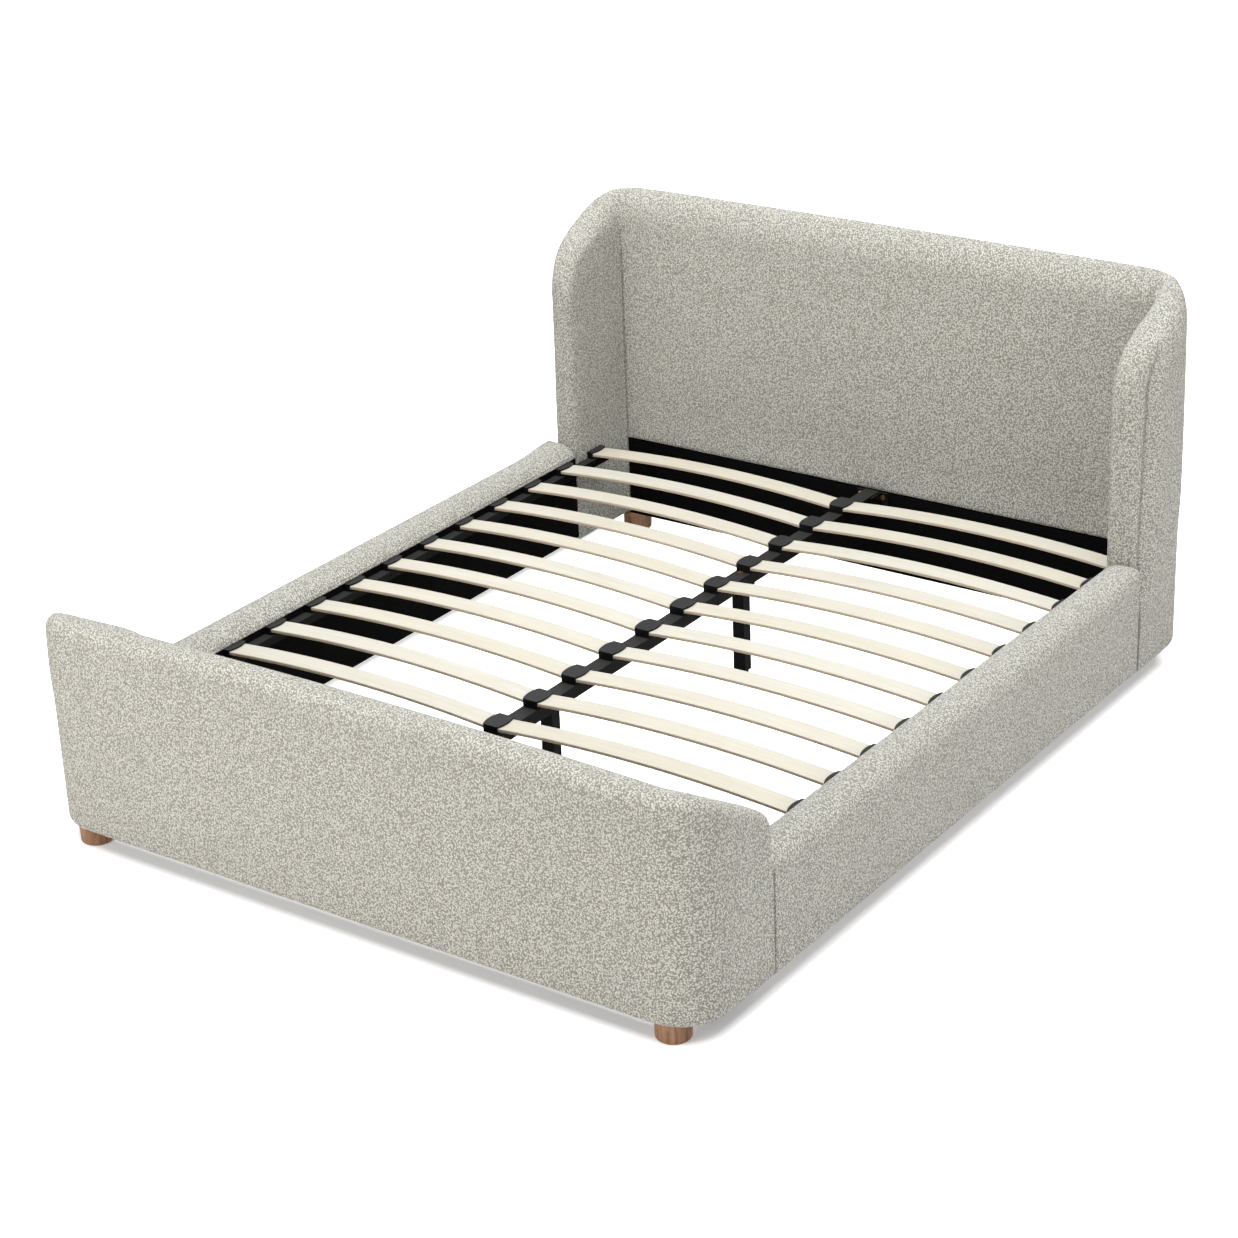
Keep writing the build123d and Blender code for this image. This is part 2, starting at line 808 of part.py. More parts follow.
# Slats: bent laminated strips, bowed upwards, one on each side of the beam in every row
with BuildPart() as slat:
    slat_middle_x = (slat_inner_x + slat_outer_x) / 2
    slat_top = slat_height + slat_thickness
    with BuildSketch(Plane.XZ):
        with BuildLine():
            ThreePointArc(
                (slat_inner_x, slat_height),
                (slat_middle_x, slat_height + slat_camber),
                (slat_outer_x, slat_height),
            )
            Line((slat_outer_x, slat_height), (slat_outer_x, slat_top))
            ThreePointArc(
                (slat_outer_x, slat_top),
                (slat_middle_x, slat_top + slat_camber),
                (slat_inner_x, slat_top),
            )
            Line((slat_inner_x, slat_top), (slat_inner_x, slat_height))
        make_face()
    extrude(amount=slat_width / 2, both=True)

for row, row_y in enumerate(slat_row_y, start=1):
    with BuildPart() as placed_slat:
        with Locations((0, row_y)):
            add(slat.part)
    save_pair(placed_slat, f"slat_{row:02d}")
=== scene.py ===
import json
import math

import bmesh
import bpy
import numpy as np
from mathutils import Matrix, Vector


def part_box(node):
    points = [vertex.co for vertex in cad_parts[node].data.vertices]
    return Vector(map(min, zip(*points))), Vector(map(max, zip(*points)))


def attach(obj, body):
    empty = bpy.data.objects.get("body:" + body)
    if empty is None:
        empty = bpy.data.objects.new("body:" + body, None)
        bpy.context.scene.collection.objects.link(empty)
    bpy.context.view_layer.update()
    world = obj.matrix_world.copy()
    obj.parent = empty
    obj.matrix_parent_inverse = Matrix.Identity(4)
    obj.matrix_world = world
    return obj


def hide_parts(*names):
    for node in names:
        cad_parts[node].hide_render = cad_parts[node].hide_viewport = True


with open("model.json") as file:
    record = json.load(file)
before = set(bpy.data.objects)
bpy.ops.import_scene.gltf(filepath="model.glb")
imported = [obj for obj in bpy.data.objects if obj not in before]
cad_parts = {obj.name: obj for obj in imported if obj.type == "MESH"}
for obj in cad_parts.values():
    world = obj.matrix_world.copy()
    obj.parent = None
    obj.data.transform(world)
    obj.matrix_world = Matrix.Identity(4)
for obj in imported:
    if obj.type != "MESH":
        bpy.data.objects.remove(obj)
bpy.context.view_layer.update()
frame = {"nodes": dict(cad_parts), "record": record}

BED = "bed"
QUARTER = math.pi / 2
SIDES = {"right": 1, "left": -1}

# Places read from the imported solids, in metres
rail_low, rail_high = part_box("rail_pad_right")
head_low, head_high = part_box("headboard_pad")
foot_low, foot_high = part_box("footboard_pad")
board_low, board_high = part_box("rail_board_right")
CLOTH_GAP = 0.0003
WELL = rail_low.x
OUTSIDE = rail_high.x
HEM = rail_low.z
RAIL_TOP = rail_high.z
WING_FRONT = rail_high.y + CLOTH_GAP
FOOT_SEAM = -rail_low.y + CLOTH_GAP

# How finely the upholstery is divided
ROLL_STEPS = 26
FLAT_STEPS = 5
FILL_STEPS = 28
HEM_STEPS = 5
NOSE_STEPS = 84
SIDE_STEPS = 22
CORNER_STEPS = 28
LONG_STEPS = 44
SIDE_LINE_STEP = 0.002
RAIL_SECTION_STEP = 0.012
SLAT_SECTION_STEP = 0.009
WELD = 2e-5
SLIVER = 1e-6

# The sewn front edge of a wing: share of the roll walked, distance in from the side, fall
STRIP_REACH = [0, 0.18, 0.32, 0.42, 0.52, 0.58, 0.64, 0.80, 1]
STRIP_ACROSS = [0.062, 0.046, 0.036, 0.029, 0.0245, 0.0258, 0.0195, 0.009, 0]
STRIP_DOWN = [0, 0.002, 0.007, 0.014, 0.023, 0.029, 0.033, 0.050, 0.075]
SEAM_AT = 0.58
SEAM_WIDTH = 0.025

# Where the forms of a wall pass into one another: lengths, then shares of the wall's thickness
CORNER_CLEAR = 0.004
SQUARE_OVER = 0.008
SWELL_OVER = 0.12
VALLEY_WIDTH = 0.05
ROLLS_SHARE = 0.94
UNDERSIDE_STEP = np.array([0.62, 0.60])


def ease(value, start, end):
    """Smooth step: 0 before start, 1 after end, 3t^2 - 2t^3 between them."""
    t = np.clip((value - start) / (end - start), 0, 1)
    return t * t * (3 - 2 * t)


def rounded_line(corners, radii, steps=16):
    """A line through corners, each inner corner rounded by an arc of its own radius.

    The arc touches both runs R tan(turn / 2) from the corner, and its points are the first touch
    point turned about the arc's centre.
    """
    corners = np.asarray(corners, float)
    parts = [corners[:1]]
    for before, corner, after, radius in zip(corners[:-2], corners[1:-1], corners[2:], radii):
        into = (corner - before) / np.linalg.norm(corner - before)
        away = (after - corner) / np.linalg.norm(after - corner)
        turn = math.atan2(into[0] * away[1] - into[1] * away[0], into @ away)
        start = corner - into * radius * math.tan(abs(turn) / 2)
        centre = start + np.array([-into[1], into[0]]) * math.copysign(radius, turn)
        angle = np.linspace(0, turn, steps)[:, None]
        spoke = start - centre
        across = np.array([-spoke[1], spoke[0]])
        parts.append(centre + spoke * np.cos(angle) + across * np.sin(angle))
    parts.append(corners[-1:])
    return np.concatenate(parts)


def along(line):
    """Distance walked along a line at each of its points."""
    return np.concatenate([[0], np.cumsum(np.linalg.norm(np.diff(line, axis=0), axis=1))])


def at_distances(line, distances):
    """Points of a line at the given walked distances."""
    walked = along(line)
    return np.stack([np.interp(distances, walked, line[:, axis]) for axis in range(line.shape[1])], -1)


def evenly(line, count):
    """A line divided again into count points at equal distances."""
    return at_distances(line, np.linspace(0, along(line)[-1], count))


def finely(line, step):
    """A line with its own points kept and more added, so that none are much over step apart."""
    walked = along(line)
    return at_distances(line, np.union1d(walked, np.arange(0, walked[-1], step)))


def grid_quads(rows, columns):
    """Corner numbers of the faces of a grid whose last column joins the first."""
    row, column = np.meshgrid(np.arange(rows - 1), np.arange(columns), indexing="ij")
    here = row * columns + column
    beside = row * columns + (column + 1) % columns
    return np.stack([here, beside, beside + columns, here + columns], -1).reshape(-1, 4)


def tube_piece(name, grid, material, marks):
    """A closed mesh from rings of points, grid[ring, place]; the two end rings are capped.

    marks maps an attribute's name to its value at each point.
    """
    rings, places = grid.shape[:2]
    quads = grid_quads(rings, places).tolist()
    caps = [list(range(places)), list(range((rings - 1) * places, rings * places))]
    mesh = bpy.data.meshes.new(name)
    mesh.from_pydata(grid.reshape(-1, 3), [], quads + caps)
    for mark, values in marks.items():
        attribute = mesh.attributes.new(mark, "FLOAT", "POINT")
        attribute.data.foreach_set("value", np.ascontiguousarray(values, np.float32).ravel())
    shell = bmesh.new()
    shell.from_mesh(mesh)
    bmesh.ops.remove_doubles(shell, verts=shell.verts, dist=WELD)
    bmesh.ops.dissolve_degenerate(shell, edges=shell.edges, dist=SLIVER)
    bmesh.ops.recalc_face_normals(shell, faces=shell.faces)
    for face in shell.faces:
        face.smooth = True
    for edge in {edge for face in shell.faces if len(face.verts) > 4 for edge in face.edges}:
        edge.smooth = False
    shell.to_mesh(mesh)
    shell.free()
    piece = bpy.data.objects.new(name, mesh)
    bpy.context.scene.collection.objects.link(piece)
    mesh.materials.append(material)
    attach(piece, BED)
    return piece


def wall_nose(form):
    """The nose of a wall's end, seen from the side: up, round the shoulder arc and on to the slope.

    Also gives how far each nose point's down has turned, from 0, backwards, to 1, straight down, evenly
    with the distance walked past the upright part, and the whole line behind the nose.
    """
    side = rounded_line(
        [
            (form["nose"], HEM),
            (form["nose"], form["shoulder"]),
            (form["crest"], form["top"]),
            (form["outer"] + 1, form["top"]),
        ],
        [form["shoulder_radius"], form["crest_radius"]],
        24,
    )
    side = finely(side, SIDE_LINE_STEP)
    leaving = form["nose"] + 1e-4
    nose_line = evenly(side[side[:, 0] <= form["nose"] + form["nose_reach"]], NOSE_STEPS)
    upright = nose_line[nose_line[:, 0] < leaving, 1].max()
    walked = along(nose_line)
    turning = np.interp(upright, nose_line[:, 1], walked)
    bend = np.clip((walked - turning) / (walked[-1] - turning), 0, 1)
    return nose_line, bend, side[side[:, 0] > leaving]


def wall_plan(form, nose_line):
    """Inner and outer plan lines of a wall's right half, one point to a ring, and the inner corner's ring.

    Each line is the nose, a straight side, a rounded corner and a run to x = 0. At the nose's foot the
    two lines draw together by r - sqrt(r^2 - e^2), where e is the depth into the hem's radius r.
    """
    corner_y = min(form["outer"] - form["corner"], form["inner"] - form["inner_corner"]) - CORNER_CLEAR
    corner_x = min(OUTSIDE - form["corner"], WELL - form["inner_corner"]) - CORNER_CLEAR
    straight = np.linspace(nose_line[-1, 0], corner_y, SIDE_STEPS)[1:-1]
    lead = np.concatenate([nose_line[:, 0], straight])
    run = np.linspace(corner_x, 0, LONG_STEPS)[1:]

    def plan(x, y, corner):
        """One plan line round the corner at x, y."""
        turn = evenly(rounded_line([(x, corner_y), (x, y), (corner_x, y)], [corner]), CORNER_STEPS)
        before = np.stack([np.full_like(lead, x), lead], -1)
        return np.concatenate([before, turn, np.stack([run, np.full_like(run, y)], -1)])

    inner = plan(WELL, form["inner"], form["inner_corner"])
    outer = plan(OUTSIDE, form["outer"], form["corner"])
    inner_turn = inner[len(lead) : len(lead) + CORNER_STEPS]
    corner_ring = len(lead) + int(np.argmin(np.linalg.norm(inner_turn - (WELL, form["inner"]), axis=1)))
    hem_radius = form["hem_radius"]
    hem_rise = np.clip(HEM + hem_radius - nose_line[:, 1], 0, hem_radius)
    narrowing = hem_radius - np.sqrt(hem_radius**2 - hem_rise**2)
    inner[:NOSE_STEPS, 0] += narrowing
    outer[:NOSE_STEPS, 0] -= narrowing
    return inner, outer, corner_ring


def wall_rolls(form, stage, height, square, thick):
    """Each ring's inner and outer roll, as distances across and down, and the dark seam mark: the sewn seam
    line, partly painted shade in its groove, and painted shade in the joint where the wall is squared against
    a rail.

    A roll is an elliptic quarter, across a(1 - cos f) and down d(1 - sin f), with a and d read along the
    wall. At a sewn front edge the strip falls to the seam, which lies in a small groove, then the side
    swells. Where the wall is thinner than its two rolls, as in its corners, both shrink to fit.
    """

    def radius(values):
        """A roll's radius at each ring, drawn to a small square edge where the wall meets a rail."""
        return np.interp(stage, range(len(values)), values) * (1 - square) + form["square_edge"] * square

    turn = np.linspace(0, QUARTER, ROLL_STEPS)
    in_across = radius(form["roll_in"])[:, None] * (1 - np.cos(turn))
    in_down = radius(form["roll_in_down"])[:, None] * (1 - np.sin(turn))
    out_across = radius(form["roll_out"])[:, None] * (1 - np.cos(turn[::-1]))
    out_down = radius(form["roll_out_down"])[:, None] * (1 - np.sin(turn[::-1]))

    reach = np.linspace(0, 1, ROLL_STEPS)
    strip_across = np.interp(reach, STRIP_REACH, STRIP_ACROSS)
    strip_down = np.interp(reach, STRIP_REACH, STRIP_DOWN)
    sewn = form["sewn"] * (1 - square) * (1 - ease(stage, 0.05, 1.0))
    falling = 1 + 0.6 * ease(height, RAIL_TOP, form["shoulder"] - 0.05)[:, None] * (1 - ease(reach, 0.6, 1))
    out_across = out_across + sewn[:, None] * (strip_across - out_across)
    out_down = out_down + sewn[:, None] * (strip_down * falling - out_down)
    # Dark seam mark: the seam line, partly painted shade in its groove; where the wall is squared against a
    # rail's end it widens over the small edge as painted shade in the joint
    stitched = form["sewn"] * (1 - square) * (1 - ease(stage, 0.45, 1.0))
    width = SEAM_WIDTH + 0.4 * square[:, None] ** 6
    seam_and_joint_shade = (stitched + square)[:, None] * np.exp(-(((reach - SEAM_AT) / width) ** 2))

    fit = np.minimum(1, ROLLS_SHARE * thick / (in_across[:, -1] + out_across[:, 0]))[:, None]
    return in_across * fit, in_down, out_across * fit, out_down, seam_and_joint_shade


def wall_half(form):
    """Right-hand half of a padded wall that wraps round two corners, as rings of points.

    From the nose the rings climb the shoulder and the slope, go straight back, turn the corner between
    the inner and the outer plan line, and run to x = 0. Each ring is a section: inner face, inner roll,
    top, outer roll, outer face, underside. On the nose down means backwards, and it turns to straight
    down over the shoulder. Also gives the seam's mark at each point and the inner corner's ring.
    """
    nose_line, bend, slope = wall_nose(form)
    inner, outer, corner_ring = wall_plan(form, nose_line)
    start = nose_line[-1, 0]
    rings = len(inner)
    level = rings - NOSE_STEPS
    nose = np.arange(rings) < NOSE_STEPS
    stage = np.concatenate(
        [
            bend,
            np.linspace(1, 2, SIDE_STEPS)[1:-1],
            np.linspace(2, 3, CORNER_STEPS),
            np.linspace(3, 4, LONG_STEPS)[1:],
        ]
    )
    height = np.concatenate([nose_line[:, 1], np.full(level, form["top"])])
    back = np.concatenate([np.cos(bend * QUARTER), np.zeros(level)])
    down = np.concatenate([np.sin(bend * QUARTER), np.ones(level)])
    span = outer - inner
    thick = np.linalg.norm(span, axis=1)
    unit = span / thick[:, None]
    square = np.where(nose, 1 - ease(height, form["square_to"], RAIL_TOP + SQUARE_OVER), 0)

    # The band over the top: inner roll, slightly domed flat, outer roll
    in_across, in_down, out_across, out_down, seam_and_joint_shade = wall_rolls(form, stage, height, square, thick)
    flat = np.linspace(0, 1, FLAT_STEPS + 2)[1:-1]
    flat_start = in_across[:, -1:]
    flat_end = thick[:, None] - out_across[:, :1]
    band_across = np.concatenate(
        [in_across, flat_start + (flat_end - flat_start) * flat, thick[:, None] - out_across], 1
    )
    dome = form["dome"] * np.sin(np.pi * flat)[None] * (1 - square)[:, None]
    fall = np.concatenate([in_down, -dome, out_down], 1)

    # Its points lie at their crest height, then fall along each ring's own down
    place = inner[:, None] + unit[:, None] * band_across[..., None]
    crest = np.where(nose[:, None], height[:, None], np.interp(place[..., 1], slope[:, 0], slope[:, 1]))
    crown = form["crown"] * np.clip(1 - (place[..., 0] / WELL) ** 2, 0, 1)
    crest = crest + np.where(nose[:, None], 0, crown)
    band = np.stack(
        [place[..., 0], place[..., 1] + back[:, None] * fall, crest - down[:, None] * fall], -1
    )

    # Faces run from the rolls down to the hem; on the nose their feet spread along the bottom edge
    share = np.where(nose, np.arange(rings) / (NOSE_STEPS - 1), 1)
    arc = np.linspace(0, QUARTER, HEM_STEPS)
    rows = np.linspace(0, 1, FILL_STEPS + 1)[1:-1]
    hem_radius = form["hem_radius"]

    def face(edge, line, sign, low, swell, pillow):
        """One face, straight from a roll's edge to the hem and swelled by sin(pi r)^0.8, and its hem arc."""
        foot = np.stack(
            [
                np.where(nose, line[NOSE_STEPS, 0], line[:, 0]),
                np.where(nose, edge[:, 1] + (start - edge[:, 1]) * share, line[:, 1]),
                low + hem_radius,
            ],
            -1,
        )
        points = edge[:, None] + (foot - edge)[:, None] * rows[None, :, None]
        clear = ease(points[..., 2], RAIL_TOP, RAIL_TOP + SWELL_OVER) * np.sin(np.pi * rows) ** 0.8
        points[..., :2] += sign * swell * (clear * pillow[:, None])[..., None] * unit[:, None]
        lean_in = hem_radius * (1 - np.sin(arc))[None]
        hem = np.concatenate(
            [
                foot[:, None, :2] - sign * unit[:, None] * lean_in[..., None],
                (low[:, None] + hem_radius * (1 - np.cos(arc)))[..., None],
            ],
            -1,
        )
        return points, hem

    inner_low = np.full(rings, form["inner_low"])
    outer_low = np.full(rings, HEM)
    plan_walk = along(inner)
    valley = 1 - np.exp(-np.abs(plan_walk - plan_walk[corner_ring]) / VALLEY_WIDTH)
    inner_face, inner_hem = face(band[:, 0], inner, -1, inner_low, form["swell_in"], valley)
    outer_face, outer_hem = face(band[:, -1], outer, 1, outer_low, form["swell_out"], np.ones(rings))
    step = inner[:, None] + unit[:, None] * UNDERSIDE_STEP[None, :, None] * thick[:, None, None]
    step[nose, :, 1] = (inner_hem[nose, :1, 1] + outer_hem[nose, -1:, 1]) / 2
    under = np.concatenate([step, np.stack([outer_low, inner_low], -1)[..., None]], -1)
    grid = np.concatenate(
        [inner_hem, inner_face[:, ::-1], band, outer_face, outer_hem[:, ::-1], under], 1
    )
    seam = np.zeros(grid.shape[:2])
    first_out = HEM_STEPS + FILL_STEPS - 1 + ROLL_STEPS + FLAT_STEPS
    # The dark seam mark on the outer roll, partly painted shade in the groove and at the rail joint
    seam[:, first_out : first_out + ROLL_STEPS] = seam_and_joint_shade
    grid[..., 1] *= form["facing"]
    return grid, seam, corner_ring


def on_side(grid, sign):
    """Rings as they are for sign 1, and mirrored across x = 0 for sign -1."""
    return grid * np.array([sign, 1, 1])


# Forms of the two walls, in metres; a roll's list runs from the nose by the side and corner to the middle
HEADBOARD = {
    "facing": 1, "nose": WING_FRONT, "inner": head_low.y, "outer": head_high.y,
    "corner": 0.150, "inner_corner": 0.012, "top": head_high.z, "shoulder": head_high.z - 0.129,
    "shoulder_radius": 0.15, "crest": head_low.y + 0.02, "crest_radius": 0.22, "nose_reach": 0.13,
    "roll_in": [0.020, 0.038, 0.042, 0.046, 0.046], "roll_in_down": [0.020, 0.046, 0.060, 0.080, 0.080],
    "roll_out": [0.054, 0.054, 0.050, 0.028, 0.028], "roll_out_down": [0.070, 0.070, 0.080, 0.055, 0.040],
    "square_to": RAIL_TOP - 0.18, "square_edge": 0.006, "sewn": 1.0, "dome": 0.0015, "crown": 0.003,
    "hem_radius": 0.012, "inner_low": HEM, "swell_in": 0.003, "swell_out": 0.004,
}
FOOTBOARD = {
    "facing": -1, "nose": FOOT_SEAM, "inner": -foot_low.y - 0.087, "outer": -foot_low.y,
    "corner": 0.110, "inner_corner": 0.024, "top": foot_high.z, "shoulder": 0.410,
    "shoulder_radius": 0.062, "crest": 1.044, "crest_radius": 0.12, "nose_reach": 0.06,
    "roll_in": [0.014, 0.024, 0.026, 0.026, 0.026], "roll_in_down": [0.014, 0.022, 0.024, 0.024, 0.024],
    "roll_out": [0.014, 0.020, 0.030, 0.034, 0.034], "roll_out_down": [0.014, 0.018, 0.030, 0.036, 0.036],
    "square_to": RAIL_TOP - 0.030, "square_edge": 0.003, "sewn": 0.0, "dome": 0.0015, "crown": 0.013,
    "hem_radius": 0.016, "inner_low": HEM, "swell_in": 0.0, "swell_out": 0.004,
}


# Materials
def shader_group(name, inputs, outputs):
    """An empty shader group with named sockets: (name, kind) pairs, in order."""
    tree = bpy.data.node_groups.new(name, "ShaderNodeTree")
    for title, kind in inputs:
        tree.interface.new_socket(title, in_out="INPUT", socket_type="NodeSocket" + kind)
    for title, kind in outputs:
        tree.interface.new_socket(title, in_out="OUTPUT", socket_type="NodeSocket" + kind)
    return tree, tree.nodes.new("NodeGroupInput"), tree.nodes.new("NodeGroupOutput")


def put(tree, socket, value):
    """Link a socket to another one, or give it a plain value."""
    if isinstance(value, bpy.types.NodeSocket):
        tree.links.new(value, socket)
    else:
        socket.default_value = value


def node(tree, kind, settings=None, **sockets):
    """One shader node: settings are its own properties, sockets its values or what they are linked to."""
    made = tree.nodes.new("ShaderNode" + kind)
    for key, value in (settings or {}).items():
        setattr(made, key, value)
    for key, value in sockets.items():
        place = int(key[1:]) if key[0] == "i" and key[1:].isdigit() else key.replace("_", " ")
        put(tree, made.inputs[place], value)
    return made


def maths(tree, operation, first, second, clamp=False):
    """A math node's result."""
    return node(tree, "Math", {"operation": operation, "use_clamp": clamp}, i0=first, i1=second).outputs[0]


def remap(tree, value, start, end, low=0.0, high=1.0, way="LINEAR"):
    """A value carried from the range start to end into low to high, and held there."""
    return node(
        tree, "MapRange", {"interpolation_type": way}, Value=value, From_Min=start, From_Max=end,
        To_Min=low, To_Max=high,
    ).outputs[0]


def blend_colours(tree, share, first, second, way="MIX"):
    """Two colours mixed by a share."""
    made = node(tree, "Mix", {"data_type": "RGBA", "blend_type": way}, i0=share, i6=first, i7=second)
    return made.outputs[2]


def shaded(tree, colour, level):
    """A colour made lighter or darker by a factor."""
    grey = node(tree, "CombineColor", i0=level, i1=level, i2=level).outputs[0]
    return blend_colours(tree, 1.0, colour, grey, "MULTIPLY")


def point_mark(tree, name):
    """The value that a mesh carries at its points under this name."""
    return node(tree, "Attribute", {"attribute_name": name}).outputs["Fac"]


def looped_yarn():
    """Loops of yarn: rounded nubs, one to a cell, wound with finer ridges where a noise passes its middle."""
    tree, inside, outside = shader_group(
        "looped yarn", [("Vector", "Vector"), ("Loops", "Float"), ("Curl", "Float")],
        [("Height", "Float"), ("Tint", "Float")],
    )
    place = inside.outputs
    turned = node(
        tree, "VectorRotate", {"rotation_type": "EULER_XYZ"}, Vector=place["Vector"],
        Rotation=(0.61, 0.47, 0.83),
    ).outputs[0]
    cells = node(tree, "TexVoronoi", {"feature": "F1"}, Vector=turned, Scale=place["Loops"], Randomness=0.9)
    nubs = remap(tree, cells.outputs["Distance"], 0.70, 0.25, way="SMOOTHSTEP")
    ridges = maths(tree, "MULTIPLY", place["Loops"], 2.2)
    cloud = node(tree, "TexNoise", Vector=place["Vector"], Scale=ridges, Detail=1.0).outputs["Fac"]
    off = node(tree, "Math", {"operation": "ABSOLUTE"}, i0=maths(tree, "SUBTRACT", cloud, 0.5)).outputs[0]
    wound = maths(tree, "SUBTRACT", 1.0, maths(tree, "MULTIPLY", off, place["Curl"]), True)
    height = maths(
        tree, "ADD", maths(tree, "MULTIPLY", nubs, 0.72), maths(tree, "MULTIPLY", wound, 0.28), True
    )
    tree.links.new(height, outside.inputs["Height"])
    parts = node(tree, "SeparateColor", Color=cells.outputs["Color"])
    tree.links.new(parts.outputs[0], outside.inputs["Tint"])
    return tree


def broad_shade():
    """A slow change of tone over a surface: 1 plus a depth times a centred noise."""
    tree, inside, outside = shader_group(
        "broad shade", [("Vector", "Vector"), ("Size", "Float"), ("Depth", "Float")], [("Tone", "Float")]
    )
    place = inside.outputs
    cloud = node(tree, "TexNoise", Vector=place["Vector"], Scale=place["Size"], Detail=3.0).outputs["Fac"]
    tone = maths(tree, "MULTIPLY", maths(tree, "SUBTRACT", cloud, 0.5), place["Depth"])
    tree.links.new(maths(tree, "ADD", tone, 1.0), outside.inputs["Tone"])
    return tree


def wood_grain():
    """Long grain lines: noise for the figure and finer noise for the pores, in stretched coordinates."""
    tree, inside, outside = shader_group(
        "wood grain", [("Vector", "Vector"), ("Figure", "Float")], [("Figure", "Float"), ("Pores", "Float")]
    )
    place = inside.outputs
    figure = node(
        tree, "TexNoise", Vector=place["Vector"], Scale=place["Figure"], Detail=5.0, Roughness=0.6,
        Distortion=0.4,
    ).outputs["Fac"]
    finer = maths(tree, "MULTIPLY", place["Figure"], 7.0)
    pores = node(tree, "TexNoise", Vector=place["Vector"], Scale=finer, Detail=2.0).outputs["Fac"]
    tree.links.new(figure, outside.inputs["Figure"])
    tree.links.new(pores, outside.inputs["Pores"])
    return tree


YARN, SHADE, GRAIN = looped_yarn(), broad_shade(), wood_grain()


def finish_base(name):
    """A new material with its Principled shader and object coordinates."""
    material = bpy.data.materials.new(name)
    material.use_nodes = True
    tree = material.node_tree
    place = node(tree, "TexCoord").outputs["Object"]
    return material, tree, tree.nodes["Principled BSDF"], place


def use_group(tree, group, **sockets):
    """A group placed in a material with its own values."""
    return node(tree, "Group", {"node_tree": group}, **sockets)


def dress(tree, shader, height, strength, distance, **values):
    """Give a Principled shader its bump and its other values or links."""
    bump = node(tree, "Bump", Height=height, Strength=strength, Distance=distance).outputs[0]
    for name, value in {"Normal": bump, **values}.items():
        put(tree, shader.inputs[name.replace("_", " ")], value)


def boucle_finish():
    """Greige looped cloth: loop tops painted pale and the gaps between them dark, a painted highlight and
    painted shade of the loops; uneven yarn; dark seam lines, partly painted shade in seam grooves, the inner
    corner crease and the joints.
    """
    material, tree, shader, place = finish_base("greige boucle")
    yarn = use_group(tree, YARN, Vector=place, Loops=245.0, Curl=6.0)
    tone = use_group(tree, SHADE, Vector=place, Size=5.0, Depth=0.05).outputs["Tone"]
    # Painted light and shade of the loops: colour follows loop height, pale on the tops and dark in the gaps,
    # on top of the bump
    loop_light_and_shade = remap(tree, yarn.outputs["Height"], 0.20, 0.74, way="SMOOTHSTEP")
    cloth = blend_colours(tree, loop_light_and_shade, (0.42, 0.383, 0.311, 1), (1.0, 0.974, 0.880, 1))
    uneven = remap(tree, yarn.outputs["Tint"], 0.0, 1.0, 0.86, 1.10)
    cloth = shaded(tree, cloth, maths(tree, "MULTIPLY", uneven, tone))
    # Dark seam lines: partly the seam itself, partly painted shade in the seam's groove, the inner corner
    # crease and the joints where walls and rails meet
    seam_line_and_shade = maths(tree, "MULTIPLY", point_mark(tree, "seam"), 0.75)
    cloth = blend_colours(tree, seam_line_and_shade, cloth, (0.07, 0.052, 0.042, 1))
    dress(
        tree, shader, yarn.outputs["Height"], 1.0, 0.008, Base_Color=cloth, Roughness=0.95,
        Specular_IOR_Level=0.15, Sheen_Weight=0.30, Sheen_Roughness=0.5,
    )
    return material


def birch_finish():
    """Pale laminated birch: faint long grain on the face, brown glue lines between the plies at the edge."""
    material, tree, shader, place = finish_base("pale birch")
    stretched = node(tree, "Mapping", Vector=place, Scale=(6.0, 110.0, 110.0)).outputs[0]
    grain = use_group(tree, GRAIN, Vector=stretched, Figure=1.0)
    tone = use_group(tree, SHADE, Vector=place, Size=7.0, Depth=0.10).outputs["Tone"]
    pale = blend_colours(
        tree, point_mark(tree, "tint"), (0.507, 0.481, 0.398, 1), (0.527, 0.518, 0.466, 1)
    )
    face = blend_colours(tree, grain.outputs["Figure"], (0.41, 0.365, 0.295, 1), pale)
    face = shaded(tree, face, tone)
    plies = maths(tree, "MULTIPLY", point_mark(tree, "ply"), 6.0)
    wave = maths(tree, "PINGPONG", plies, 1.0)
    layers = blend_colours(tree, wave, (0.30, 0.225, 0.15, 1), (0.62, 0.53, 0.41, 1))
    wood = blend_colours(tree, point_mark(tree, "edge"), face, layers)
    dress(tree, shader, grain.outputs["Pores"], 0.12, 0.0006, Base_Color=wood, Roughness=0.5)
    return material


def walnut_finish():
    """Brown stained wood with upright grain, darker streaks and fine pores."""
    material, tree, shader, place = finish_base("walnut")
    stretched = node(tree, "Mapping", Vector=place, Scale=(90.0, 90.0, 9.0)).outputs[0]
    grain = use_group(tree, GRAIN, Vector=stretched, Figure=1.0)
    streak = remap(tree, grain.outputs["Figure"], 0.3, 0.7)
    wood = blend_colours(tree, streak, (0.11, 0.050, 0.024, 1), (0.37, 0.198, 0.105, 1))
    dress(tree, shader, grain.outputs["Pores"], 0.25, 0.0008, Base_Color=wood, Roughness=0.42)
    return material


